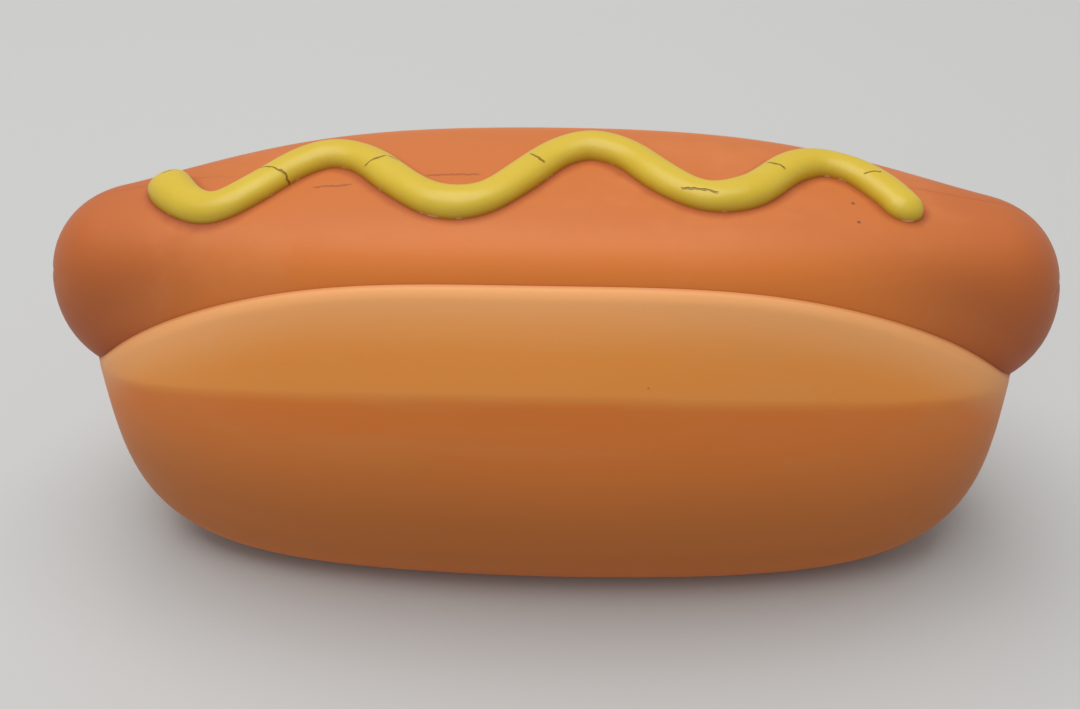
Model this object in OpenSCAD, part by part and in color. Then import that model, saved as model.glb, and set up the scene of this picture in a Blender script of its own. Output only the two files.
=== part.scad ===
// Squeaky hot-dog toy of moulded latex, thrown for a dog to fetch and squeezed in its mouth.
// The sausage lies in a trough in the bun and sinks a little when the toy is squeezed.
// The air then leaves through a reed squeaker in the flat base.
// X runs along the toy, Y across it, Z up. The origin is under the middle, on the base.

/* [Sausage] */
// Length of the sausage from tip to tip, the longest size of the toy
sausage_len = 200; // [192:2:240]
// Width of the sausage at its middle
sausage_mid_w = 54; // [46:1:58]
// Height of the sausage at its middle
sausage_mid_h = 52; // [44:1:62]
// Width of the sausage where its tips begin to round
sausage_end_w = 28; // [22:1:32]
// Height of the sausage where its tips begin to round
sausage_end_h = 31; // [25:1:36]
// Length of each rounded tip
tip_len = 10; // [6:1:14]
// Height above the base of the axis through both tips
axis_z = 59; // [55:1:70]
// Thickness of the sausage's skin
skin_t = 2.2; // [1.6:0.2:3.4]

/* [Bun] */
// Length of the bun
bun_len = 186; // [170:2:188]
// Width of the bun at its side ridge
bun_w = 70.5; // [69:0.5:86]
// Height of the side ridge at the middle of the bun
ridge_mid_z = 57; // [50:1:60]
// Height of the side ridge at the ends of the bun
ridge_end_z = 47; // [42:1:50]
// How far the bun's crown would stand over the ridge with no trough in it
crown_h = 37.5; // [34:0.5:44]
// Thickness of the bun's skin
bun_skin_t = 2.4; // [2:0.2:3.6]
// Width of the narrow edge that is left along each lip
lip_edge = 0.4; // [0.3:0.1:0.8]

/* [Mustard] */
// Width of the mustard bead
mustard_w = 7.2; // [5:0.2:9]
// How far the bead stands above the sausage
mustard_h = 3.2; // [2:0.2:5]
// Swing of the squiggle to each side of its middle line
mustard_swing = 9; // [7:0.5:13]
// Length of one whole wave of the squiggle
mustard_wave = 48; // [42:1:56]
// Length of the whole squiggle along the toy
mustard_len = 150; // [120:2:156]
// Place along the toy of the squiggle's middle
mustard_mid = -4; // [-6:1:6]
// Place along the toy of the squiggle's first front bend
mustard_first = -64; // [-72:1:-56]

/* [Squeeze] */
// How far the sausage sinks when the toy is squeezed
squeeze_travel = 5; // [3:0.5:6]
// Gap between the sausage and its trough
trough_gap = 0.5; // [0.3:0.1:0.8]

/* [Base] */
// Length of the flat base plate, and of the air chamber over it
base_len = 128; // [110:2:136]
// Width of the flat base plate
base_w = 44; // [38:1:48]
// Thickness of the base plate
base_t = 3; // [2.6:0.2:4]
// Glue gap round the base plate
base_gap = 0.15; // [0.1:0.05:0.3]
// Height to which the air chamber reaches beside the trough
chamber_top_z = 48; // [36:1:49]

/* [Squeaker] */
// Outer diameter of the squeaker's cup
cup_d = 24; // [21:1:28]
// Height of the cup, from its floor to its rim
cup_h = 12; // [11:0.5:14]
// Wall of the cup
cup_t = 1.2; // [0.8:0.1:1.6]
// Diameter of the flange under the base plate
flange_d = 32; // [30:1:36]
// Thickness of the flange, which is also the cup's floor
flange_t = 1.2; // [1:0.1:1.4]
// How far the flange is sunk into the base, so that the toy stands flat
flange_sink = 0.2; // [0.1:0.1:0.4]
// Running clearance between the cup and its hole
cup_gap = 0.1; // [0.05:0.05:0.2]
// Diameter of the sound hole in the cup's floor
sound_hole_d = 3; // [2:0.5:4]
// Thickness of the lid over the cup
lid_t = 1; // [0.8:0.1:1.4]
// Diameter of each air hole in the lid
air_hole_d = 2.5; // [1.5:0.5:3]
// Distance of the air holes from the middle of the lid
air_hole_r = 6; // [4:0.5:7]
// How many air holes the lid has
air_holes = 6; // [3:1:8]

/* [Reed] */
// Length of the reed's free tongue
reed_len = 10; // [8:0.5:11]
// Width of the reed
reed_w = 4; // [3:0.25:5]
// Thickness of the reed
reed_t = 0.4; // [0.3:0.05:0.6]
// How far the reed swings each way, in degrees
reed_swing = 3; // [1:0.5:4]
// Length of the block under the reed
block_len = 15; // [14:0.5:16]
// Width of the block
block_w = 6; // [5:0.5:7]
// Height of the block's air face over the cup's floor
block_h = 4; // [3:0.5:5]
// Width of the air channel in the block
channel_w = 2.2; // [1.5:0.1:3]
// Length of the clip that holds the reed's root
clip_len = 3; // [2.5:0.5:4]
// Thickness of the clip's bridge
clip_t = 1; // [0.8:0.1:1.4]
// Clearance round the moving reed and between pressed pieces
reed_gap = 0.1; // [0.05:0.05:0.15]

/* [Hidden] */

// Colours
ORANGE = [0.84, 0.51, 0.31];
CRUST = [0.85, 0.60, 0.36];
YELLOW = [0.84, 0.74, 0.24];
WADDING = [0.94, 0.93, 0.90];
CLEAR_WHITE = [0.90, 0.90, 0.86];
REED_RED = [0.80, 0.25, 0.20];

// Points round the sausage, and along the bun's keel, side, trough wall and trough bed
ARC = 20;
LOW = 7;
SIDE = 5;
WALL = 6;
BED = 12;
// Sections along each tip of the sausage, along the straight body, and along the bun's noses
TIP_STEPS = 6;
BODY_STEPS = 20;
NOSE_STEPS = 8;
// Halvings that find the lip
BISECTIONS = 30;
// Length over which a hollow's end wall is drawn
end_step = 0.2;

// How square each section is: 2 is an ellipse, and more is squarer
SAUSAGE_END_POWER = 2;
SAUSAGE_MID_POWER = 4.8;
BUN_POWER = 2.8;
// Roundness of the bun's plan, of its keel, and of the arc over its ridge
PLAN_ROOT = 1 / 3;
KEEL_POWER = 1.6;
KEEL_ROOT = 0.33;
CROWN_ARC = 0.9;
// Share of the bun's half width that its flat underside may take
FLAT_SHARE = 0.78;
// Share of the trough's height over the tips' axis that the lips may reach
LIP_REACH = 0.85;

// Points round half a bead, and sections along it
BEAD_ARC = 6;
BEAD_STEPS = 90;
// Small clearances and lengths that are never changed by themselves
bead_lift = 0.15;
fill_gap = 0.5;
plug_h = 1.5;
channel_len = 7;
root_len = 1.5;

half_sausage = sausage_len / 2;
half_bun = bun_len / 2;
half_base = base_len / 2;
trough_z = axis_z - squeeze_travel;

function clamp01(v) = min(1, max(0, v));
function mix(a, b, t) = a + (b - a) * t;
function signed_pow(v, p) = sign(v) * pow(abs(v), p);
function reversed(list) = [for (i = [len(list) - 1:-1:0]) list[i]];

// Sausage sections: half width, half height and squareness at x
function swell(x) = 1 - pow(clamp01(abs(x) / half_sausage), 2);
function tip_round(x, end) = sqrt(1 - pow(clamp01((abs(x) - end + tip_len) / tip_len), 2));
function sausage_a(x) = mix(sausage_end_w, sausage_mid_w, swell(x)) / 2;
function sausage_b(x) = mix(sausage_end_h, sausage_mid_h, swell(x)) / 2;
function sausage_n(x) = mix(SAUSAGE_END_POWER, SAUSAGE_MID_POWER, swell(x));
function oval(a, b, n, t) = [a * signed_pow(cos(t), 2 / n), b * signed_pow(sin(t), 2 / n)];
// Half width of an oval at height z over its middle
function oval_y(a, b, n, z) = a * pow(1 - pow(clamp01(abs(z) / b), n), 1 / n);
// Height of the sausage's upper face at a point in plan
function sausage_top(x, y) =
    axis_z + oval_y(sausage_b(x) * tip_round(x, half_sausage), sausage_a(x), sausage_n(x), y);

// Bun sections: half width, ridge height, underside, and half width at any height
function bun_a(x) = bun_w / 2 * pow(1 - pow(clamp01(abs(x) / half_bun), 2), PLAN_ROOT);
function ridge_z(x) = mix(ridge_mid_z, ridge_end_z, pow(x / half_bun, 2));
function under_z(x) =
    let (t = clamp01((abs(x) - half_base - end_step) / (half_bun - half_base - end_step)))
    ridge_z(x) * (1 - pow(1 - pow(t, KEEL_POWER), KEEL_ROOT));
function flat_y(x) =
    let (edge = base_w / 2 + base_gap)
    abs(x) <= half_base ? edge : min(edge, FLAT_SHARE * bun_a(x));
function crown(x) = crown_h * bun_a(x) * 2 / bun_w;
function crown_y(a, h, z) =
    let (c = sqrt(1 - CROWN_ARC * CROWN_ARC), e = mix(c, 1, clamp01(z / h)))
    a / CROWN_ARC * sqrt(1 - e * e);
function bun_y(x, z) =
    z > ridge_z(x)
    ? crown_y(bun_a(x), crown(x), z - ridge_z(x))
    : flat_y(x) + oval_y(bun_a(x) - flat_y(x), ridge_z(x) - under_z(x), BUN_POWER, ridge_z(x) - z);

// Trough: the sausage and its gap, swept down through the squeeze
function trough_y(x, z, grow) =
    oval_y(
        sausage_a(x) + grow, sausage_b(x) + grow, sausage_n(x),
        z > axis_z ? z - axis_z : min(0, z - trough_z)
    );
function trough_bottom(x, grow) = trough_z - sausage_b(x) - grow;
// Angle at which the trough's lower half, grown by `grow`, reaches height z
function trough_angle(x, z, grow) =
    -asin(pow(clamp01((trough_z - z) / (sausage_b(x) + grow)), sausage_n(x) / 2));
function trough_point(x, t, grow) =
    let (p = oval(sausage_a(x) + grow, sausage_b(x) + grow, sausage_n(x), t))
    [p[0], trough_z + p[1]];
// Height of the lip, where the bun's outside comes within lip_edge of the trough
function find_lip(x, lo, hi, steps) =
    steps == 0
    ? lo
    : let (z = (lo + hi) / 2, open = bun_y(x, z) - trough_y(x, z, trough_gap) > lip_edge)
      find_lip(x, open ? z : lo, open ? hi : z, steps - 1);
function lip_z(x) =
    find_lip(x, trough_bottom(x, trough_gap), axis_z + LIP_REACH * sausage_b(x), BISECTIONS);

// Places of the sections along a form that is hollow within `inner` and ends at `outer`
function half_places(inner, outer, steps) = concat(
    [for (i = [0:BODY_STEPS / 2]) inner * i / (BODY_STEPS / 2)],
    [for (i = [0:steps - 1]) mix(inner + end_step, outer, sin(90 * i / steps))]
);
function places(inner, outer, steps) =
    let (right = half_places(inner, outer, steps))
    concat([for (x = reversed(right)) if (x > 0) -x], right);

// A closed solid through rings of points, closed by one point at each end
module loft(rings, start, finish) {
    n = len(rings[0]);
    last = len(rings) - 1;
    sides = [
        for (i = [0:last - 1]) for (j = [0:n - 1])
            let (k = (j + 1) % n)
            each [
                [i * n + j, i * n + k, (i + 1) * n + k],
                [i * n + j, (i + 1) * n + k, (i + 1) * n + j]
            ]
    ];
    ends = [
        for (j = [0:n - 1])
            let (k = (j + 1) % n)
            each [[n * (last + 1), k, j], [n * (last + 1) + 1, last * n + j, last * n + k]]
    ];
    polyhedron(
        points = concat([for (ring = rings) each ring], [start, finish]),
        faces = concat(sides, ends),
        convexity = 8
    );
}
function ring_at(x, section) = [for (p = section) [x, p[0], p[1]]];

// Sausage: the mould parts along the toy, so its skin is a front and a rear half
hollow_end = half_sausage - skin_t - tip_len / 2;
// Share of the section's height that the closed tip's inner line keeps
TIP_SHARE = 0.9;

// The rear half's section, outside from bottom to top and back down inside
function sausage_section(x) =
    let (
        round = tip_round(x, half_sausage),
        a = sausage_a(x) * round,
        b = sausage_b(x) * round,
        n = sausage_n(x),
        hollow = abs(x) <= hollow_end
    )
    concat(
        [for (j = [0:ARC]) oval(a, b, n, 180 * j / ARC - 90)],
        [
            for (j = [ARC:-1:0])
                hollow
                ? oval(a - skin_t, b - skin_t, n, 180 * j / ARC - 90)
                : [0, -b * TIP_SHARE * cos(180 * j / ARC)]
        ]
    );

module sausage_half()
    color(ORANGE)
        translate([0, 0, axis_z])
            loft(
                [for (x = places(hollow_end, half_sausage, TIP_STEPS)) ring_at(x, sausage_section(x))],
                [-half_sausage, 0, 0],
                [half_sausage, 0, 0]
            );

module sausage_front() mirror([0, 1, 0]) sausage_half();
module sausage_rear() sausage_half();

// Loose wadding that keeps the sausage plump
module fibre_fill() {
    inset = skin_t + fill_gap;
    end = hollow_end - fill_gap;
    sections = [
        for (x = places(end - tip_len, end, TIP_STEPS))
            let (round = tip_round(x, end))
            [
                for (j = [0:2 * ARC - 1])
                    let (p = oval(
                        (sausage_a(x) - inset) * round, (sausage_b(x) - inset) * round,
                        sausage_n(x), 180 * j / ARC
                    ))
                    [x, p[0], axis_z + p[1]]
            ]
    ];
    color(WADDING) loft(sections, [-end, 0, axis_z], [end, 0, axis_z]);
}

// Mustard: a bead that swings from side to side along the crest and follows the skin under it
function squiggle_y(x) = -mustard_swing * cos(360 * (x - mustard_first) / mustard_wave);
function squiggle_slope(x) =
    mustard_swing * sin(360 * (x - mustard_first) / mustard_wave) * 2 * PI / mustard_wave;
function bead_ring(x) =
    let (
        left = mustard_len / 2 - abs(x - mustard_mid),
        round = sqrt(1 - pow(clamp01(1 - left / (mustard_w / 2)), 2)),
        slope = squiggle_slope(x),
        across = [-slope, 1] / sqrt(1 + slope * slope),
        w = mustard_w / 2 * round,
        h = mustard_h * round
    )
    [
        for (j = [0:2 * BEAD_ARC - 1])
            let (
                t = 180 * j / BEAD_ARC,
                p = [x, squiggle_y(x)] + across * w * cos(t),
                rise = max(0, sin(t)) * h
            )
            [p[0], p[1], sausage_top(p[0], p[1]) + bead_lift + rise]
    ];

module mustard() {
    ends = [for (side = [-1, 1]) mustard_mid + side * mustard_len / 2];
    tips = [for (x = ends) [x, squiggle_y(x), sausage_top(x, squiggle_y(x)) + bead_lift]];
    steps = [for (i = [1:BEAD_STEPS - 1]) mix(ends[0], ends[1], i / BEAD_STEPS)];
    color(YELLOW) loft([for (x = steps) bead_ring(x)], tips[0], tips[1]);
}

// Bun
// One half's section, for y over 0: outside from the underside up to the lip, down the
// trough to the middle, and round the air chamber, which closes up beyond the base plate
function bun_section(x) =
    let (
        hollow = abs(x) <= half_base,
        a = bun_a(x),
        flat = flat_y(x),
        under = under_z(x),
        ridge = ridge_z(x),
        lip = lip_z(x),
        bed = trough_bottom(x, trough_gap),
        joint = min(ridge, mix(under, lip, 0.8)),
        joint_angle = -asin(pow((ridge - joint) / (ridge - under), BUN_POWER / 2)),
        wall_foot = min(trough_z, mix(lip, bed, 0.2)),
        grow = trough_gap + bun_skin_t,
        floor_drop = ridge - base_t,
        top_angle = -asin(pow((ridge - chamber_top_z) / floor_drop, BUN_POWER / 2))
    )
    concat(
        [hollow ? [flat, base_t] : [0, under]],
        [
            for (j = [0:LOW])
                let (p = oval(a - flat, ridge - under, BUN_POWER, mix(-90, joint_angle, j / LOW)))
                [flat + p[0], ridge + p[1]]
        ],
        [for (j = [1:SIDE]) let (z = mix(joint, lip, j / SIDE)) [bun_y(x, z), z]],
        [for (j = [0:WALL]) let (z = mix(lip, wall_foot, j / WALL)) [trough_y(x, z, trough_gap), z]],
        [
            for (j = [1:BED])
                trough_point(x, mix(trough_angle(x, wall_foot, trough_gap), -90, j / BED), trough_gap)
        ],
        [
            for (j = [0:BED])
                hollow
                ? trough_point(x, mix(-90, trough_angle(x, chamber_top_z, grow), j / BED), grow)
                : [0, mix(bed, under, (j + 1) / (BED + LOW + 2))]
        ],
        [
            for (j = [0:LOW - 1])
                let (p = oval(a - bun_skin_t - flat, floor_drop, BUN_POWER, mix(top_angle, -90, j / LOW)))
                hollow
                ? [flat + p[0], ridge + p[1]]
                : [0, mix(bed, under, (BED + j + 2) / (BED + LOW + 2))]
        ]
    );

module bun_half() {
    stations = places(half_base, half_bun, NOSE_STEPS);
    nose = stations[len(stations) - 1];
    nose_z = (under_z(nose) + trough_bottom(nose, trough_gap)) / 2;
    loft([for (x = stations) ring_at(x, bun_section(x))], [-half_bun, 0, nose_z], [half_bun, 0, nose_z]);
}

module bun_front() color(CRUST) mirror([0, 1, 0]) bun_half();
module bun_rear() color(CRUST) bun_half();

// Flat plate between the bun's halves, with the hole and the sunk seat for the squeaker
module bun_base() {
    color(CRUST)
        difference() {
            translate([base_gap - half_base, -base_w / 2, 0])
                cube([base_len - 2 * base_gap, base_w, base_t]);
            translate([0, 0, -1]) cylinder(d = cup_d + 2 * cup_gap, h = base_t + 2, $fn = 96);
            translate([0, 0, -1])
                cylinder(d = flange_d + 2 * cup_gap, h = flange_sink + flange_t + 1, $fn = 96);
        }
}

// Squeaker
floor_z = flange_sink + flange_t;
rim_z = flange_sink + cup_h;
bore_d = cup_d - 2 * cup_t;

module squeaker_cup() {
    color(CLEAR_WHITE)
        difference() {
            union() {
                translate([0, 0, flange_sink]) cylinder(d = flange_d, h = flange_t, $fn = 96);
                translate([0, 0, flange_sink]) cylinder(d = cup_d, h = cup_h, $fn = 96);
            }
            translate([0, 0, floor_z]) cylinder(d = bore_d, h = cup_h, $fn = 96);
            translate([0, 0, -1]) cylinder(d = sound_hole_d, h = floor_z + 2, $fn = 48);
        }
}

module squeaker_lid() {
    color(CLEAR_WHITE)
        difference() {
            union() {
                translate([0, 0, rim_z]) cylinder(d = cup_d, h = lid_t, $fn = 96);
                translate([0, 0, rim_z - plug_h]) cylinder(d = bore_d - 2 * reed_gap, h = plug_h, $fn = 96);
            }
            for (i = [0:air_holes - 1])
                rotate(360 * i / air_holes)
                    translate([air_hole_r, 0, rim_z - plug_h - 1])
                        cylinder(d = air_hole_d, h = lid_t + plug_h + 2, $fn = 48);
        }
}

// Reed: it lies over the block's channel, and its root is held between the pad and the clip
block_x = -block_len / 2;
pivot_x = block_x + clip_len;
reed_lift = reed_len * sin(reed_swing) + reed_gap;
air_face_z = floor_z + block_h;
reed_z = air_face_z + reed_lift;
root_play = root_len * sin(reed_swing) + reed_gap / 2;

module reed_block() {
    color(CLEAR_WHITE)
        difference() {
            union() {
                translate([block_x, -block_w / 2, floor_z]) cube([block_len, block_w, block_h]);
                translate([block_x, -block_w / 2, floor_z])
                    cube([clip_len, block_w, block_h + reed_lift - root_play]);
            }
            translate([-channel_len / 2, -channel_w / 2, floor_z - 1])
                cube([channel_len, channel_w, block_h + 2]);
        }
}

module reed_clip() {
    inner_w = block_w + 2 * reed_gap;
    color(CLEAR_WHITE)
        difference() {
            translate([block_x, -inner_w / 2 - clip_t, floor_z])
                cube([clip_len, inner_w + 2 * clip_t, reed_z + reed_t + root_play + clip_t - floor_z]);
            translate([block_x - 1, -inner_w / 2, floor_z - 1])
                cube([clip_len + 2, inner_w, reed_z + reed_t + root_play - floor_z + 1]);
        }
}

module reed()
    color(REED_RED)
        translate([pivot_x - root_len, -reed_w / 2, reed_z])
            cube([root_len + reed_len, reed_w, reed_t]);

bun_front();
bun_rear();
bun_base();
sausage_front();
sausage_rear();
mustard();
fibre_fill();
squeaker_cup();
squeaker_lid();
reed_block();
reed_clip();
reed();
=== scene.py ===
"""Squeaky hot-dog toy: the latex skins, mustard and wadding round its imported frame."""

import bpy
import numpy as np
from bpy.props import FloatProperty, FloatVectorProperty, PointerProperty
from mathutils import Matrix, Vector


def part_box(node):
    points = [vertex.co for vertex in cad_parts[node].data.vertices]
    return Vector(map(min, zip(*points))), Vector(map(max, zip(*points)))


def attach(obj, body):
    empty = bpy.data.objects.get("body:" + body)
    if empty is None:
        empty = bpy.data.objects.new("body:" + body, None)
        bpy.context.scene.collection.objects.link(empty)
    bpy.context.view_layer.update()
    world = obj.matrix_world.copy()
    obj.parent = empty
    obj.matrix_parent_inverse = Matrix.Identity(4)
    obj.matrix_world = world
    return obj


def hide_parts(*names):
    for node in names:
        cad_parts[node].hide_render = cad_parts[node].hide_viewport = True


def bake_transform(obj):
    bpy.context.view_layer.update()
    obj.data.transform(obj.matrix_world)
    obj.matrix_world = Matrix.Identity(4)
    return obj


bl_info = {
    "name": "Squeaky hot-dog toy",
    "version": (1, 0, 0),
    "blender": (4, 5, 0),
    "location": "View3D > Sidebar > Hot Dog",
    "description": "Builds a moulded latex hot-dog toy round its frame",
    "category": "Add Mesh",
}

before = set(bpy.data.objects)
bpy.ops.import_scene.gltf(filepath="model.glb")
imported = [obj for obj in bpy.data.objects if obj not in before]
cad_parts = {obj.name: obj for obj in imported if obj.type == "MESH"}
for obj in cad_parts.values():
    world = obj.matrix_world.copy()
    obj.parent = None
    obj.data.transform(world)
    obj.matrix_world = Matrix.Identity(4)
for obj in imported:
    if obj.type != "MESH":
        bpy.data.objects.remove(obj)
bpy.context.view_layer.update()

MM = 0.001
SAUSAGE_LOW, SAUSAGE_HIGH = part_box("sausage_front")
BUN_LOW, BUN_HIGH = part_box("bun_front")
FLANGE_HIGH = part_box("squeaker_cup")[1]
LID_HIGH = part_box("squeaker_lid")[1]

# Places along and across the toy, in millimetres, that the squiggle passes through
SQUIGGLE = [
    (-76, 4.8), (-72.5, -1.5), (-67.5, -7), (-62, -9.2), (-56.5, -5.5), (-50, 2.2), (-45.5, 5.6),
    (-41, 6.6), (-34.5, 3), (-27.5, -5.3), (-21.5, -10.8), (-16.5, -12.4), (-11, -10.8),
    (-5.5, -4.4), (0.5, 4.3), (5, 7.8), (9, 8.8), (15.5, 5.2), (21.5, -2.5), (27, -7.6),
    (32, -8.8), (38.5, -5.6), (45, 2.7), (49.5, 6.4), (53, 7.3), (58.5, 5.8), (63, 1.2),
    (66, -3.4), (68.2, -8.2),
]


# ---- Sizes and colours ----

def length(name, description, default):
    return FloatProperty(
        name=name, description=description, default=default, min=0, unit="LENGTH", precision=4
    )


def colour(name, description, default):
    return FloatVectorProperty(
        name=name, description=description, default=default, min=0, max=1, size=3, subtype="COLOR"
    )


class SausageSizes(bpy.types.PropertyGroup):
    half_length: length("Half length", "From the middle to a tip", SAUSAGE_HIGH.x)
    axis: length("Axis height", "Height of the line through both tips",
                 (SAUSAGE_HIGH.z + SAUSAGE_LOW.z) / 2)
    mid_width: length("Middle half width", "Half the width at the middle",
                      -SAUSAGE_LOW.y + 0.6 * MM)
    mid_height: length("Middle half height", "Half the height at the middle",
                       (SAUSAGE_HIGH.z - SAUSAGE_LOW.z) / 2)
    end_width: length("Tip half width", "Half the width where a tip begins", 14.7 * MM)
    end_height: length("Tip half height", "Half the height where a tip begins", 17 * MM)
    tip: length("Tip length", "Length of each rounded tip", 14 * MM)
    wall: length("Wall", "Thickness of the skin", 2.2 * MM)
    neck: FloatProperty(name="Neck", description="How much the sausage draws in before its tips",
                        default=1.7, min=0, max=4)
    nick: length("Nick depth", "Depth of the nick at each tip's parting", 0.25 * MM)


class BunSizes(bpy.types.PropertyGroup):
    half_length: length("Half length", "From the middle to a nose", BUN_HIGH.x)
    half_width: length("Half width", "From the middle to the side ridge", -BUN_LOW.y)
    ridge_mid: length("Middle ridge height", "Height of the side ridge at the middle", 57.4 * MM)
    ridge_end: length("End ridge height", "Height of the side ridge at the noses", 46.7 * MM)
    lip_rise: FloatProperty(name="Lip rise", default=0.69, min=0.3, max=0.85,
                            description="Share of the sausage's half height that the lips climb")
    lip: length("Lip", "Thickness of the rolled lip beside the sausage", 1.2 * MM)
    roll: length("Lip roll", "Height over which the lip rolls over", 2 * MM)
    gap: length("Crease", "Width of the crease between lip and sausage", 0.12 * MM)


class MustardSizes(bpy.types.PropertyGroup):
    half_width: length("Half width", "Half the width of the bead", 3.8 * MM)
    rise: length("Rise", "How far the bead's middle line stands over the skin", 0.5 * MM)
    half_height: length("Half height", "Half the height of the round bead", 2.9 * MM)


class ToyColours(bpy.types.PropertyGroup):
    sausage: colour("Sausage", "Airbrushed orange of the sausage", (0.545, 0.148, 0.028))
    # Painted shade: this deep orange darkens the sausage towards its tips and low down; in the
    # crease at the tips it is partly the deeper airbrushed orange and partly painted shade
    sausage_deep_and_shade: colour("Sausage crease", "Deep orange beside the bun's lips",
                         (0.33, 0.058, 0.008))
    bun: colour("Bun", "Airbrushed crust of the bun", (0.84, 0.295, 0.050))
    # Painted shade: a darker crust for the sides under the ridge, which face away from the light;
    # at the very bottom it also stands for painted bounce light from the floor
    bun_low: colour("Bun side", "Crust under the side ridge", (0.79, 0.205, 0.022))
    # Painted shade: darker crust low on the sides, where they face down away from the light
    bun_shade: colour("Bun foot", "Darker crust low on the sides", (0.50, 0.140, 0.014))
    # Partly painted highlight: the lips' rim is paler, pinkish paint plus a painted highlight where
    # the rounded lip catches the light
    lip: colour("Lip", "Paler overspray on the bun's lips", (0.85, 0.42, 0.17))
    mustard: colour("Mustard", "Yellow of the mustard bead", (0.60, 0.42, 0.028))
    # Painted shade: ochre low on the bead's sides
    mustard_shade: colour("Mustard foot", "Ochre at the foot of the bead", (0.50, 0.24, 0.02))
    cream: colour("Bare latex", "Unpainted latex in chips and flash", (0.80, 0.66, 0.42))
    wadding: colour("Wadding", "White of the polyester wadding", (0.85, 0.84, 0.80))
    plastic: colour("Squeaker", "Milky white of the squeaker", (0.76, 0.76, 0.71))
    reed: colour("Reed", "Red of the reed", (0.55, 0.04, 0.025))


# ---- Shapes ----

def superellipse(angle, power):
    """Unit superellipse: its two coordinates at each angle, in radians."""
    c, s = np.cos(angle), np.sin(angle)
    return np.sign(c) * np.abs(c) ** (2 / power), np.sign(s) * np.abs(s) ** (2 / power)


def sausage_half_sizes(sizes, x):
    """Half width, half height and squareness of the sausage at each x."""
    s2 = np.clip(np.abs(x) / sizes.half_length, 0, 1) ** 2
    swell = 1 - s2 + sizes.neck * s2 * (1 - s2) * (0.32 - s2)
    past = np.clip((np.abs(x) - sizes.half_length + sizes.tip) / sizes.tip, 0, 1)
    tip = (1 - past**2.3) ** (1 / 2.3)
    width = sizes.end_width + (sizes.mid_width - sizes.end_width) * swell
    height = sizes.end_height + (sizes.mid_height - sizes.end_height) * swell
    return width * tip, height * tip, 2 + 2.4 * (1 - s2)


def sausage_side(sizes, x, z):
    """How far the sausage's side stands from the middle plane at each x and z."""
    width, height, power = sausage_half_sizes(sizes, x)
    up = np.clip(np.abs(z - sizes.axis) / np.maximum(height, 1e-9), 0, 1)
    return width * (1 - up**power) ** (1 / power)


def sausage_crest(sizes, x, y):
    """Height of the sausage's upper face at each x and y."""
    width, height, power = sausage_half_sizes(sizes, x)
    out = np.clip(np.abs(y) / np.maximum(width, 1e-9), 0, 1)
    return sizes.axis + height * (1 - out**power) ** (1 / power)


# Share of the way round a bun section, from its underside, where its side, its upper face,
# the roll of its lip and its trough wall begin
SIDE_START, FACE_START, ROLL_START, WALL_START = 0.14, 0.44, 0.62, 0.70
# How square the bun's side is, how much of its width is flat underneath, and how much of a
# quarter turn the arc over the ridge takes
BUN_SIDE_POWER = 2.8
FLAT_SHARE = 0.55
ARC_SHARE = 0.9


def bun_half_sizes(bun, x):
    """Half width, ridge height and underside height of the bun at each x."""
    s2 = np.clip(np.abs(x) / bun.half_length, 0, 1) ** 2
    ridge = bun.ridge_end + (bun.ridge_mid - bun.ridge_end) * (1 - s2)
    under = ridge * (1 - (1 - s2**3) ** (1 / 3.3))
    return bun.half_width * (1 - s2) ** (1 / 3), ridge, under


def lip_place(bun, sausage, x):
    """How far the bun's lip stands from the middle plane at each x, and its height."""
    s = np.clip(np.abs(x) / bun.half_length, 0, 1)
    share = bun.lip_rise - (1 + bun.lip_rise) * (1 - (1 - s**3.5) ** (2 / 3))
    z = sausage.axis + share * sausage_half_sizes(sausage, x)[1]
    return sausage_side(sausage, x, z) + bun.gap, z


def bun_crown(bun, sausage, x):
    """How far the arc over the ridge would rise, so that it passes through the lip."""
    width, ridge, _ = bun_half_sizes(bun, x)
    lip_y, lip_z = lip_place(bun, sausage, x)
    foot = np.sqrt(1 - ARC_SHARE**2)
    out = np.clip((lip_y + bun.lip) / np.maximum(width, 1e-9), 0, 0.97)
    arc = (np.sqrt(1 - (ARC_SHARE * out) ** 2) - foot) / (1 - foot)
    return np.maximum(lip_z - ridge, 0.01 * MM) / arc


def bun_side(bun, sausage, x, z):
    """How far the bun's outside stands from the middle plane at each x and z."""
    width, ridge, under = bun_half_sizes(bun, x)
    crown = bun_crown(bun, sausage, x)
    foot = np.sqrt(1 - ARC_SHARE**2)
    rise = np.clip((z - ridge) / np.maximum(crown, 1e-9), 0, 1)
    upper = width / ARC_SHARE * np.sqrt(1 - (foot + (1 - foot) * rise) ** 2)
    drop = np.clip((ridge - z) / np.maximum(ridge - under, 1e-9), 0, 1)
    share = FLAT_SHARE + (1 - FLAT_SHARE) * (1 - drop**BUN_SIDE_POWER) ** (1 / BUN_SIDE_POWER)
    return np.where(z > ridge, upper, width * share)


def wrap_grid(name, along, around, shape):
    """A grid wrapped into a closed form by shape(u, v), each from -1 to 1."""
    bpy.ops.object.select_all(action="DESELECT")
    bpy.ops.mesh.primitive_grid_add(x_subdivisions=along, y_subdivisions=around, size=2)
    piece = bpy.context.object
    piece.name = piece.data.name = name
    flat = np.empty(len(piece.data.vertices) * 3)
    piece.data.vertices.foreach_get("co", flat)
    u, v = flat.reshape(-1, 3)[:, 0], flat.reshape(-1, 3)[:, 1]
    piece.data.vertices.foreach_set("co", np.stack(shape(u, v), axis=1).ravel())
    piece.data.update()
    bpy.ops.object.mode_set(mode="EDIT")
    bpy.ops.mesh.select_all(action="SELECT")
    bpy.ops.mesh.remove_doubles(threshold=0.002 * MM)
    bpy.ops.mesh.normals_make_consistent(inside=False)
    bpy.ops.object.mode_set(mode="OBJECT")
    bpy.ops.object.shade_smooth()
    return piece


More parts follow.
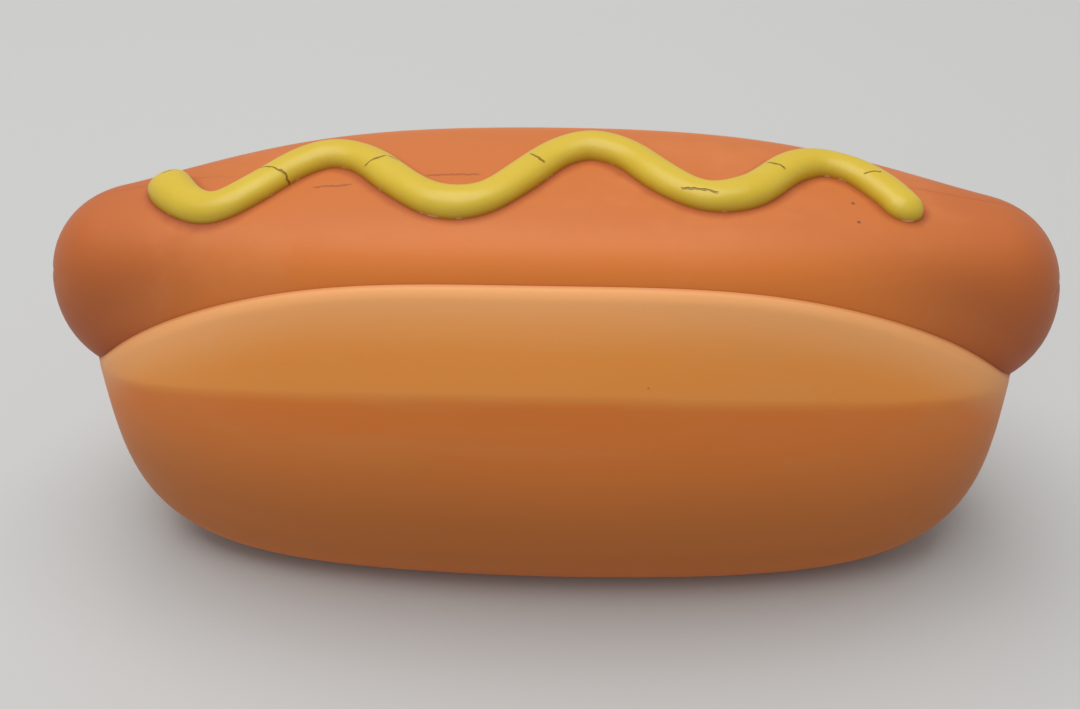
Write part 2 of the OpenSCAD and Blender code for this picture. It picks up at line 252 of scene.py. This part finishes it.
def points_of(piece):
    flat = np.empty(len(piece.data.vertices) * 3)
    piece.data.vertices.foreach_get("co", flat)
    return flat.reshape(-1, 3)


def store(piece, name, values):
    """Keeps one number per point of a piece for its material, in millimetres."""
    field = piece.data.attributes.new(name, "FLOAT", "POINT")
    field.data.foreach_set("value", (values / MM).astype(np.float32))


def along_toy(u, half_length, tip):
    """Places along the toy that crowd together at its rounded ends."""
    straight = half_length - tip
    body = 0.8
    inner = np.clip(np.abs(u) / body, 0, 1) * straight
    outer = tip * np.sin(np.clip((np.abs(u) - body) / (1 - body), 0, 1) * np.pi / 2)
    return np.sign(u) * (inner + outer)


def squiggle_path(count):
    """Evenly spaced points along the mustard's middle line, in plan, and its heading."""
    knots = np.array(SQUIGGLE) * MM
    knots = np.vstack([2 * knots[0] - knots[1], knots, 2 * knots[-1] - knots[-2]])
    fine = []
    for p0, p1, p2, p3 in zip(knots, knots[1:], knots[2:], knots[3:]):
        for t in np.arange(16) / 16:
            fine.append(
                p1 + (p2 - p0) * t / 2 + (p0 - 2.5 * p1 + 2 * p2 - p3 / 2) * t**2
                + (1.5 * p1 - p0 / 2 - 1.5 * p2 + p3 / 2) * t**3
            )
    fine = np.array(fine + [knots[-2]])
    run = np.concatenate([[0], np.cumsum(np.linalg.norm(np.diff(fine, axis=0), axis=1))])
    at = np.linspace(0, run[-1], count)
    x, y = np.interp(at, run, fine[:, 0]), np.interp(at, run, fine[:, 1])
    reach = count // 50
    kernel = np.hanning(2 * reach + 1) / np.hanning(2 * reach + 1).sum()
    for _ in range(2):
        x, y = (
            np.convolve(np.pad(line, reach, mode="reflect", reflect_type="odd"), kernel, "valid")
            for line in (x, y)
        )
    dx, dy = np.gradient(x), np.gradient(y)
    size = np.hypot(dx, dy)
    return at, x, y, dx / size, dy / size


# ---- Materials ----

class Value:
    """A number or colour that varies over a surface: an output socket that takes + - * / and **."""

    def __init__(self, paint, socket):
        self.paint = paint
        self.socket = socket

    def __add__(self, other):
        return self.paint.math("ADD", self, other)

    def __sub__(self, other):
        return self.paint.math("SUBTRACT", self, other)

    def __rsub__(self, other):
        return self.paint.math("SUBTRACT", other, self)

    def __mul__(self, other):
        return self.paint.math("MULTIPLY", self, other)

    def __truediv__(self, other):
        return self.paint.math("DIVIDE", self, other)

    def __pow__(self, other):
        return self.paint.math("POWER", self, other)

    def __abs__(self):
        return self.paint.math("ABSOLUTE", self, 0)

    __radd__ = __add__
    __rmul__ = __mul__


class Paint:
    """A material as it is being built, in millimetres on the object's own coordinates."""

    def __init__(self, name, **surface):
        self.material = bpy.data.materials.new(name)
        self.material.use_nodes = True
        self.tree = self.material.node_tree
        self.shader = self.tree.nodes["Principled BSDF"]
        for key, value in surface.items():
            self.shader.inputs[key.replace("_", " ")].default_value = value
        place = self.node("ShaderNodeTexCoord", output="Object")
        self.place = self.node(
            "ShaderNodeVectorMath", {"operation": "SCALE"}, {"Vector": place, "Scale": 1 / MM}
        )
        parts = self.tree.nodes.new("ShaderNodeSeparateXYZ")
        self.feed(parts.inputs[0], self.place)
        self.x, self.y, self.z = (Value(self, socket) for socket in parts.outputs)

    def feed(self, socket, value):
        if isinstance(value, Value):
            self.tree.links.new(value.socket, socket)
        elif hasattr(socket.default_value, "__len__") and len(value) == 3 \
                and len(socket.default_value) == 4:
            socket.default_value = (*value, 1)
        else:
            socket.default_value = value

    def node(self, kind, settings=None, inputs=None, output=0):
        node = self.tree.nodes.new(kind)
        for key, value in (settings or {}).items():
            setattr(node, key, value)
        for key, value in (inputs or {}).items():
            self.feed(node.inputs[key], value)
        return Value(self, node.outputs[output])

    def math(self, operation, a, b):
        return self.node("ShaderNodeMath", {"operation": operation}, {0: a, 1: b})

    def most(self, a, b):
        return self.math("MAXIMUM", a, b)

    def ramp(self, value, start, end, low=0.0, high=1.0):
        """Goes smoothly from low to high as the value goes from start to end."""
        inputs = {"Value": value, "From Min": start, "From Max": end, "To Min": low, "To Max": high}
        return self.node("ShaderNodeMapRange", {"interpolation_type": "SMOOTHSTEP"}, inputs)

    def noise(self, scale, detail=2.0, roughness=0.5, stretch=(1, 1, 1), shift=0.0):
        """Noise whose grains are about `scale` millimetres across."""
        place = self.node(
            "ShaderNodeMapping", {"vector_type": "POINT"},
            {"Vector": self.place, "Location": (shift, shift, shift),
             "Scale": tuple(s / scale for s in stretch)},
        )
        return self.node(
            "ShaderNodeTexNoise", {},
            {"Vector": place, "Scale": 1.0, "Detail": detail, "Roughness": roughness},
        )

    def mix(self, factor, a, b, blend="MIX"):
        settings = {"data_type": "RGBA", "blend_type": blend}
        return self.node("ShaderNodeMix", settings, {0: factor, 6: a, 7: b}, 2)

    def field(self, name):
        return self.node("ShaderNodeAttribute", {"attribute_name": name}, output="Fac")

    def stroke(self, start, end, width, wobble=0.0):
        """1 along a thin line between two places in plan, and 0 away from it."""
        (x0, y0), (x1, y1) = start, end
        run = float(np.hypot(x1 - x0, y1 - y0))
        ax, ay = (x1 - x0) / run, (y1 - y0) / run
        along = (self.x - x0) * ax + (self.y - y0) * ay
        across = (self.y - y0) * ax - (self.x - x0) * ay
        if wobble:
            across = across + (self.noise(1.6, 2) - 0.5) * wobble
        inside = self.ramp(along, 0, run * 0.15) * self.ramp(along, run, run * 0.85)
        return self.ramp(abs(across), width, width * 0.35) * inside

    def spots(self, places, radius):
        """1 in small round spots, and 0 away from them."""
        total = None
        for px, py, pz in places:
            apart = self.node(
                "ShaderNodeVectorMath", {"operation": "DISTANCE"},
                {0: self.place, 1: (px, py, pz)}, "Value",
            )
            spot = self.ramp(apart, radius, radius * 0.45)
            total = spot if total is None else self.most(total, spot)
        return total

    def finish(self, colour, roughness, height, depth):
        """Feeds the colour and roughness, and bumps the surface by depth millimetres."""
        self.feed(self.shader.inputs["Base Color"], colour)
        self.feed(self.shader.inputs["Roughness"], roughness)
        bump = self.node(
            "ShaderNodeBump", {}, {"Strength": 1.0, "Distance": depth * MM, "Height": height}
        )
        self.feed(self.shader.inputs["Normal"], bump)
        return self.material


def latex_sausage(colours):
    p = Paint("latex_sausage", Specular_IOR_Level=0.3, Sheen_Weight=0.05, Sheen_Roughness=0.5)
    to_lip, to_bead = p.field("to_lip"), p.field("to_bead")
    cloud = p.noise(34, 3, 0.55)
    fine = p.noise(5, 4, 0.6)
    grain = p.noise(0.5, 2, 0.6)
    ends = p.ramp(abs(p.x), 55, 98)
    low = p.ramp(p.z, 70, 42)
    crease = p.ramp(to_lip + (cloud - 0.5) * 5, 7, -1)
    # The band round the mustard bead's foot, where a shadow is painted below
    foot = p.ramp(to_bead + (fine - 0.5) * 1.2, 2.4, 0.2)
    # Painted shade: darker towards the tips and low on the sides, where the sausage turns from the
    # light
    base = p.mix(ends * (0.42 + 0.4 * low) + low * 0.1, colours.sausage, colours.sausage_deep_and_shade)
    # Deeper orange in the crease beside the lips at the tips: partly airbrushed paint, partly
    # painted shade
    base = p.mix(crease * ends * 0.75, base, colours.sausage_deep_and_shade)
    # Painted light: a brighter, more saturated orange near the lips along the middle, lifting the
    # shade where the sausage's side turns down
    base = p.mix(p.ramp(to_lip, 14, 0) * (1 - ends) * 0.7, base, (0.80, 0.22, 0.028))
    pale = p.ramp(cloud + (fine - 0.5) * 0.25, 0.52, 0.72)
    base = p.mix(pale * 0.18, base, (0.74, 0.27, 0.10))
    # Painted shadow: a dark red-brown band on the sausage at the foot of the mustard bead
    base = p.mix(foot * 0.7, base, (0.30, 0.055, 0.012))
    seam_y = p.ramp(abs(p.x), 46, 70, 0, 4.6) + (p.noise(16, 2) - 0.5) * 1.6 - 0.4
    seam = p.ramp(abs(p.y - seam_y), 0.5, 0.1) * p.ramp(abs(p.x), 52, 74) * p.ramp(p.z, 70, 74)
    seam = seam * p.ramp(to_bead, 0.2, 1.2)
    nick = p.ramp(abs(p.z - 64.5), 0.5, 0.1) * p.ramp(abs(p.x), 95.5, 97.5)
    scratch = p.most(
        p.stroke((-45, -4.6), (-36.5, -4), 0.35, 1.4), p.stroke((-24, -1.6), (-12, -1), 0.35, 1.4)
    )
    base = p.mix(seam * 0.3, base, (0.46, 0.10, 0.02))
    base = p.mix(p.most(nick, scratch) * 0.55, base, (0.30, 0.06, 0.015))
    chips = p.spots(
        [(-62.5, -15.2, 81), (-57.6, -13.7, 82), (-20.5, -17.5, 83.2), (36, -14.2, 83),
         (-3.5, 3.8, 85)], 0.7
    ) * p.ramp(p.noise(0.9, 3), 0.38, 0.5)
    base = p.mix(chips * 0.9, base, colours.cream)
    dots = p.spots([(57.2, -5.2, 82), (57.6, -11, 81.6), (80, -4.5, 76.5)], 0.5)
    base = p.mix(dots * 0.8, base, (0.10, 0.03, 0.015))
    base = p.mix(grain * 0.10, base, (0.55, 0.15, 0.05))
    roughness = 0.52 + (fine - 0.5) * 0.14 + crease * 0.08
    height = cloud * 0.25 + fine * 0.10 + grain * 0.07 + seam * 0.5 - (nick + scratch) * 0.6
    return p.finish(base, roughness, height, 0.3)


def latex_bun(colours):
    p = Paint("latex_bun", Specular_IOR_Level=0.3, Sheen_Weight=0.05, Sheen_Roughness=0.5)
    to_lip, over_ridge = p.field("to_lip"), p.field("over_ridge")
    cloud = p.noise(40, 3, 0.5, (0.6, 1, 1))
    fine = p.noise(6, 4, 0.6)
    grain = p.noise(0.5, 2, 0.6, shift=9)
    upper = p.ramp(over_ridge + (cloud - 0.5) * 3, -2.2, 1.5)
    rim = p.ramp(to_lip + (cloud - 0.5) * 2.5, 13, 0.5)
    # Painted shade: the bun is coloured darker below the side ridge than above it, where its face
    # turns from the light
    base = p.mix(upper, colours.bun_low, colours.bun)
    streak = p.noise(7, 3, 0.55, (0.12, 1, 1), 4)
    base = p.mix(p.ramp(streak, 0.45, 0.7) * 0.16, base, (0.70, 0.36, 0.12))
    # The lip rim: paler pinkish paint plus a painted highlight on the rounded lip
    base = p.mix(rim * 0.75, base, colours.lip)
    # Painted shade, darkening the bun's sides low down
    side_shade = p.ramp(p.z + (cloud - 0.5) * 8, 52, 20)
    base = p.mix(side_shade, base, colours.bun_shade)
    # Painted bounce light: the crust lightens again at the very bottom, as if lit from the floor
    under = p.ramp(p.z, 13, 1)
    base = p.mix(under * 0.8, base, colours.bun_low)
    # Painted shade in the crease along the bun's lips
    crease = p.ramp(to_lip, 0.9, 0.2)
    base = p.mix(crease * 0.55, base, (0.50, 0.14, 0.03))
    specks = p.spots(
        [(-80, -22.5, 52), (-21.5, -33, 64.5), (2, -32, 68.5), (19.5, -34.2, 60), (71, -27.3, 53),
         (46, -35, 38), (-55, 33, 50)], 0.45
    )
    base = p.mix(specks * 0.8, base, (0.12, 0.04, 0.015))
    base = p.mix(grain * 0.10, base, (0.55, 0.2, 0.05))
    roughness = 0.50 + (fine - 0.5) * 0.14 + p.ramp(streak, 0.4, 0.7) * 0.06
    height = cloud * 0.3 + streak * 0.12 + fine * 0.08 + grain * 0.07
    return p.finish(base, roughness, height, 0.3)


def mustard_paint(colours):
    p = Paint("mustard_paint", Specular_IOR_Level=0.4, Coat_Roughness=0.35)
    rise = p.field("over_skin")
    cloud = p.noise(9, 3, 0.5)
    fine = p.noise(1.6, 4, 0.6)
    foot = p.ramp(rise + (fine - 0.5) * 0.6, 1.1, -0.2)
    base = p.mix(p.ramp(cloud, 0.35, 0.65) * 0.35, colours.mustard, (0.64, 0.48, 0.045))
    # Painted shade: the bead darkens to ochre low on its sides, near the skin
    base = p.mix(foot * 0.6, base, colours.mustard_shade)
    cracks = p.stroke((-57, 0.6), (-43, -5.6), 0.24, 1.2)
    for start, end in (
        ((-35, -1.6), (-30.4, 0.8)), ((-30.8, 0.8), (-25, -1.6)), ((-3.4, 1.4), (-0.4, -1.8)),
        ((41.2, 1.4), (45, -0.8)), ((24.5, -9), (32, -10.8)), ((-75.5, 1.6), (-72.6, 3.4)),
        ((59.6, 1.6), (63.4, 2.2)),
    ):
        cracks = p.most(cracks, p.stroke(start, end, 0.24, 1.2))
    base = p.mix(cracks * 0.75, base, (0.16, 0.06, 0.006))
    flash = p.ramp(rise, 0.5, 0.1) * p.ramp(p.noise(2.4, 3), 0.60, 0.68)
    base = p.mix(flash * 0.85, base, colours.cream)
    roughness = 0.36 + (fine - 0.5) * 0.2 + foot * 0.12
    height = cloud * 0.55 + fine * 0.12 - cracks * 0.9
    return p.finish(base, roughness, height, 0.35)


def polyester_wadding(colours):
    p = Paint("polyester_wadding", Specular_IOR_Level=0.2, Sheen_Weight=0.3)
    fibres = p.noise(1.1, 5, 0.7, (0.25, 1, 1))
    lumps = p.noise(14, 2)
    base = p.mix(p.ramp(fibres, 0.35, 0.6), (0.62, 0.61, 0.57), colours.wadding)
    return p.finish(base, 0.85 + fibres * 0.1, fibres * 0.6 + lumps, 0.8)


def moulded_plastic(name, base_colour, swirl):
    """Moulded plastic with faint flow rings round the middle and small scuffs."""
    p = Paint(name, Specular_IOR_Level=0.5, Coat_Weight=0.15, Coat_Roughness=0.2)
    rings = p.node(
        "ShaderNodeTexWave", {"wave_type": "RINGS", "rings_direction": "Z"},
        {"Vector": p.place, "Scale": swirl, "Distortion": 1.4, "Detail": 2.0},
    )
    fine = p.noise(0.8, 3)
    scuff = p.ramp(p.noise(3, 4, 0.65, (0.3, 1.6, 1)), 0.6, 0.7)
    deeper = tuple(0.82 * c for c in base_colour)
    base = p.mix(rings * 0.25 + fine * 0.2, tuple(base_colour), deeper)
    base = p.mix(scuff * 0.2, base, tuple(0.3 + 0.6 * c for c in base_colour))
    return p.finish(base, 0.30 + fine * 0.12 + scuff * 0.2, fine * 0.3 + rings * 0.15, 0.05)


# ---- Operators ----

class TOY_OT_camera(bpy.types.Operator):
    """Put the camera over the near side of the toy, looking down at it"""
    bl_idname = "toy.camera"
    bl_label = "Camera"

    def execute(self, context):
        bpy.ops.object.select_all(action="DESELECT")
        bpy.ops.object.camera_add()
        camera = context.object
        camera.name = "camera"
        camera.data.lens = 46.53
        camera.data.sensor_width = 36
        camera.data.clip_start = 0.01
        forward = Vector((-0.04764, 0.78963, -0.61173)).normalized()
        up = Vector((-0.01832, 0.61163, 0.79093))
        right = forward.cross(up).normalized()
        up = right.cross(forward)
        turn = Matrix((right, up, -forward)).transposed().to_4x4()
        camera.matrix_world = Matrix.Translation((11.81 * MM, -230.84 * MM, 219.81 * MM)) @ turn
        context.scene.camera = camera
        return {"FINISHED"}


class TOY_OT_stage(bpy.types.Operator):
    """Add the pale floor, the soft lamps and the sky"""
    bl_idname = "toy.stage"
    bl_label = "Stage"

    def execute(self, context):
        bpy.ops.object.select_all(action="DESELECT")
        bpy.ops.mesh.primitive_plane_add(size=24)
        floor = context.object
        floor.name = "floor"
        paint = Paint("pale_floor", Specular_IOR_Level=0.1)
        paint.finish(paint.mix(paint.noise(300, 2) * 0.06, (0.52, 0.52, 0.51), (0.45, 0.45, 0.44)),
                     0.8, paint.noise(4, 2), 0.01)
        floor.data.materials.append(paint.material)
        for name, place, size, power in (
            ("overhead", (-0.15, 0.1, 1.3), 1.3, 17.0),
            ("front", (-0.6, -1.2, 1.0), 1.0, 1.6),
        ):
            bpy.ops.object.light_add(type="AREA", location=place)
            lamp = context.object
            lamp.name = name
            lamp.data.size = size
            lamp.data.energy = power
            lamp.rotation_euler = (Vector((0, 0, 0.05)) - lamp.location).to_track_quat(
                "-Z", "Y"
            ).to_euler()
        world = bpy.data.worlds.new("soft_room")
        world.use_nodes = True
        sky = world.node_tree.nodes["Background"]
        sky.inputs["Color"].default_value = (0.97, 0.98, 1, 1)
        sky.inputs["Strength"].default_value = 0.42
        context.scene.world = world
        context.scene.view_settings.view_transform = "Standard"
        return {"FINISHED"}


class TOY_OT_sausage(bpy.types.Operator):
    """Build the sausage's hollow latex skin"""
    bl_idname = "toy.sausage"
    bl_label = "Sausage skin"

    def execute(self, context):
        sizes, bun = context.scene.toy_sausage, context.scene.toy_bun

        def shape(u, v):
            x = along_toy(u, sizes.half_length, sizes.tip)
            width, height, power = sausage_half_sizes(sizes, x)
            c, s = superellipse(v * np.pi, power)
            nick = np.exp(-((s * height - 5.5 * MM) / (0.7 * MM)) ** 2)
            nick = nick * np.clip((np.abs(x) / sizes.half_length - 0.96) / 0.02, 0, 1)
            x = x - np.sign(x) * nick * sizes.nick * (np.abs(u) < 1)
            return x, width * c, sizes.axis + height * s

        piece = wrap_grid("sausage_skin", 250, 170, shape)
        bpy.ops.object.modifier_add(type="SOLIDIFY")
        wall = piece.modifiers[-1]
        wall.thickness = sizes.wall
        wall.offset = -1
        bpy.ops.object.modifier_apply(modifier=wall.name)
        x, y, z = points_of(piece).T
        near = np.clip(x, -0.99 * bun.half_length, 0.99 * bun.half_length)
        lip_y, lip = lip_place(bun, sizes, near)
        beyond = np.maximum(np.abs(x) - 0.99 * bun.half_length, 0)
        store(piece, "to_lip", np.sqrt(beyond**2 + (np.abs(y) - lip_y) ** 2 + (z - lip) ** 2))
        half_bead = context.scene.toy_mustard.half_width
        run, px, py, _, _ = squiggle_path(240)
        under_bead = (run > half_bead) & (run < run[-1] - half_bead)
        apart = np.full(len(x), 1.0)
        for qx, qy in zip(px[under_bead], py[under_bead]):
            apart = np.minimum(apart, np.hypot(x - qx, y - qy))
        apart = np.where(z > sizes.axis, apart, 1.0)
        store(piece, "to_bead", apart - half_bead)
        piece.data.materials.append(latex_sausage(context.scene.toy_colours))
        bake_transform(piece)
        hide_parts("sausage_front", "sausage_rear")
        return {"FINISHED"}


class TOY_OT_bun(bpy.types.Operator):
    """Build the bun's latex skin with its rolled lips, trough and squeaker hole"""
    bl_idname = "toy.bun"
    bl_label = "Bun skin"

    def execute(self, context):
        bun, sausage = context.scene.toy_bun, context.scene.toy_sausage

        def shape(u, v):
            x = along_toy(u, bun.half_length, 26 * MM)
            width, ridge, under = bun_half_sizes(bun, x)
            lip = lip_place(bun, sausage, x)[1]
            _, height, power = sausage_half_sizes(sausage, x)
            bed = sausage.axis - height - bun.gap
            under = np.minimum(under, bed - 0.05 * MM)
            lip = np.maximum(lip, bed)
            roll = np.minimum(bun.roll, 0.3 * (lip - under))
            shoulder = lip - roll
            joint = np.minimum(ridge, under + 0.85 * (shoulder - under))
            share = np.abs(v)
            flat = np.clip(share / SIDE_START, 0, 1)
            side = np.clip((share - SIDE_START) / (FACE_START - SIDE_START), 0, 1)
            face = np.clip((share - FACE_START) / (ROLL_START - FACE_START), 0, 1)
            turn = np.clip((share - ROLL_START) / (WALL_START - ROLL_START), 0, 1) * np.pi / 2
            wall = np.clip((share - WALL_START) / (1 - WALL_START), 0, 1)
            drop = np.clip((ridge - joint) / np.maximum(ridge - under, 1e-9), 0, 1)
            stop = np.arcsin(drop ** (BUN_SIDE_POWER / 2))
            angle = np.pi / 2 + (stop - np.pi / 2) * side
            low_y, low_z = superellipse(angle, BUN_SIDE_POWER)
            y = width * (FLAT_SHARE * np.where(share < SIDE_START, flat, 1)
                         + (1 - FLAT_SHARE) * np.where(share < SIDE_START, 0, low_y))
            z = ridge - (ridge - under) * low_z
            up_z = joint + (shoulder - joint) * face
            z = np.where(share > FACE_START, up_z, z)
            y = np.where(share > FACE_START, bun_side(bun, sausage, x, up_z), y)
            roll_z = shoulder + roll * np.sin(turn)
            inner = sausage_side(sausage, x, roll_z) + bun.gap
            roll_y = inner + np.maximum(bun_side(bun, sausage, x, roll_z) - inner, 0) * np.cos(turn)
            z = np.where(share > ROLL_START, roll_z, z)
            y = np.where(share > ROLL_START, roll_y, y)
            start = np.clip((lip - sausage.axis) / (height + bun.gap), -1, 1)
            from_angle = np.arcsin(np.sign(start) * np.abs(start) ** (power / 2))
            down = from_angle + (-np.pi / 2 - from_angle) * wall
            c, s = superellipse(down, power)
            wall_z = sausage.axis + (height + bun.gap) * s
            wall_y = (sausage_half_sizes(sausage, x)[0] + bun.gap) * c
            z = np.where(share > WALL_START, wall_z, z)
            y = np.where(share > WALL_START, wall_y, y)
            end = np.abs(u) > 0.999
            z = np.where(end, (under + bed) / 2, z)
            y = np.where(end, 0, y)
            return x, y * np.sign(v), z

        piece = wrap_grid("bun_skin", 260, 220, shape)
        for radius, top in (
            (FLANGE_HIGH.x + 0.1 * MM, 1.45 * MM), (12.1 * MM, LID_HIGH.z + 1 * MM)
        ):
            bpy.ops.object.select_all(action="DESELECT")
            bpy.ops.mesh.primitive_cylinder_add(
                vertices=96, radius=radius, depth=top + 5 * MM, location=(0, 0, (top - 5 * MM) / 2)
            )
            cutter = context.object
            bpy.ops.object.select_all(action="DESELECT")
            context.view_layer.objects.active = piece
            piece.select_set(True)
            bpy.ops.object.modifier_add(type="BOOLEAN")
            cut = piece.modifiers[-1]
            cut.object = cutter
            cut.operation = "DIFFERENCE"
            cut.solver = "MANIFOLD"
            bpy.ops.object.modifier_apply(modifier=cut.name)
            bpy.data.objects.remove(cutter)
        bpy.ops.object.shade_smooth_by_angle(angle=0.6)
        x, y, z = points_of(piece).T
        lip_y, lip = lip_place(bun, sausage, x)
        store(piece, "to_lip", np.hypot(np.abs(y) - lip_y, z - lip))
        store(piece, "over_ridge", z - bun_half_sizes(bun, x)[1])
        piece.data.materials.append(latex_bun(context.scene.toy_colours))
        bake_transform(piece)
        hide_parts("bun_front", "bun_rear", "bun_base")
        return {"FINISHED"}


class TOY_OT_mustard(bpy.types.Operator):
    """Lay the round mustard bead along the sausage's crest"""
    bl_idname = "toy.mustard"
    bl_label = "Mustard bead"

    def execute(self, context):
        sizes, sausage = context.scene.toy_mustard, context.scene.toy_sausage
        steps, around = 620, 48
        run, px, py, hx, hy = squiggle_path(steps)
        total = run[-1]

        def shape(u, v):
            at = (u + 1) / 2 * total
            cap = sizes.half_width
            left = np.minimum(at, total - at)
            cap_run = np.clip(1 - left / cap, 0, 1)
            tip = np.sqrt(1 - cap_run**2)
            swell = 1 + 0.05 * np.sin(at * 260) * np.sin(at * 97)
            swell = swell + 0.12 * np.exp(-((at - 5 * MM) / (7 * MM)) ** 2)
            x0, y0 = np.interp(at, run, px), np.interp(at, run, py)
            ax, ay = np.interp(at, run, hx), np.interp(at, run, hy)
            c, s = superellipse(v * np.pi, 2.15)
            side = sizes.half_width * swell * tip * c
            x, y = x0 - ay * side, y0 + ax * side
            floor_z = sausage_crest(sausage, x, y)
            centre = sausage_crest(sausage, x0, y0)
            ground = 0.35 * centre + 0.65 * floor_z
            return x, y, ground + sizes.rise + sizes.half_height * swell * tip * s

        piece = wrap_grid("mustard_bead", steps, around, shape)
        x, y, z = points_of(piece).T
        store(piece, "over_skin", z - sausage_crest(sausage, x, y))
        piece.data.materials.append(mustard_paint(context.scene.toy_colours))
        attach(piece, "sausage")
        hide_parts("mustard")
        return {"FINISHED"}


class TOY_OT_wadding(bpy.types.Operator):
    """Fill the sausage with lumpy wadding"""
    bl_idname = "toy.wadding"
    bl_label = "Wadding"

    def execute(self, context):
        sizes = context.scene.toy_sausage
        inset = sizes.wall + 0.9 * MM

        def shape(u, v):
            x = along_toy(u, sizes.half_length, sizes.tip)
            width, height, power = sausage_half_sizes(sizes, x)
            c, s = superellipse(v * np.pi, power)
            lump = 1 + 0.018 * np.sin(x * 330 + 2 * np.sin(v * 9.4)) * np.sin(v * 4 * np.pi)
            lump = lump - 0.012 * (1 + np.sin(x * 610 + 3 * np.cos(v * 12.6)))
            shrink = (sizes.half_length - inset - 3 * MM) / sizes.half_length
            x = x * shrink
            return (x, np.maximum(width - inset, 0) * c * lump,
                    sizes.axis + np.maximum(height - inset, 0) * s * lump)

        piece = wrap_grid("wadding", 160, 96, shape)
        piece.data.materials.append(polyester_wadding(context.scene.toy_colours))
        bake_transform(piece)
        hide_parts("fibre_fill")
        return {"FINISHED"}


class TOY_OT_squeaker(bpy.types.Operator):
    """Give the squeaker's pieces their moulded plastic"""
    bl_idname = "toy.squeaker"
    bl_label = "Squeaker"

    def execute(self, context):
        colours = context.scene.toy_colours
        milky = moulded_plastic("milky_plastic", colours.plastic, 0.9)
        red = moulded_plastic("reed_plastic", colours.reed, 0.3)
        for node, material in (
            ("squeaker_cup", milky), ("squeaker_lid", milky), ("reed_block", milky),
            ("reed_clip", milky), ("reed", red),
        ):
            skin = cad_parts[node].data
            skin.materials.clear()
            skin.materials.append(material)
        return {"FINISHED"}


class TOY_PT_panel(bpy.types.Panel):
    bl_idname = "TOY_PT_panel"
    bl_label = "Squeaky hot-dog toy"
    bl_space_type = "VIEW_3D"
    bl_region_type = "UI"
    bl_category = "Hot Dog"

    def draw(self, context):
        for sizes in ("toy_sausage", "toy_bun", "toy_mustard", "toy_colours"):
            group = getattr(context.scene, sizes)
            for name in group.bl_rna.properties.keys():
                if name not in ("rna_type", "name"):
                    self.layout.prop(group, name)
        for operator in OPERATORS:
            self.layout.operator(operator.bl_idname)


OPERATORS = (
    TOY_OT_camera, TOY_OT_stage, TOY_OT_sausage, TOY_OT_bun, TOY_OT_mustard, TOY_OT_wadding,
    TOY_OT_squeaker,
)
GROUPS = {
    "toy_sausage": SausageSizes, "toy_bun": BunSizes, "toy_mustard": MustardSizes,
    "toy_colours": ToyColours,
}


def register():
    for cls in (*GROUPS.values(), *OPERATORS, TOY_PT_panel):
        bpy.utils.register_class(cls)
    for name, group in GROUPS.items():
        setattr(bpy.types.Scene, name, PointerProperty(type=group))


def unregister():
    for name in GROUPS:
        delattr(bpy.types.Scene, name)
    for cls in reversed((*GROUPS.values(), *OPERATORS, TOY_PT_panel)):
        bpy.utils.unregister_class(cls)


def main():
    register()
    bpy.ops.toy.camera()
    bpy.ops.toy.stage()
    bpy.ops.toy.sausage()
    bpy.ops.toy.bun()
    bpy.ops.toy.mustard()
    bpy.ops.toy.wadding()
    bpy.ops.toy.squeaker()


if __name__ == "__main__":
    main()
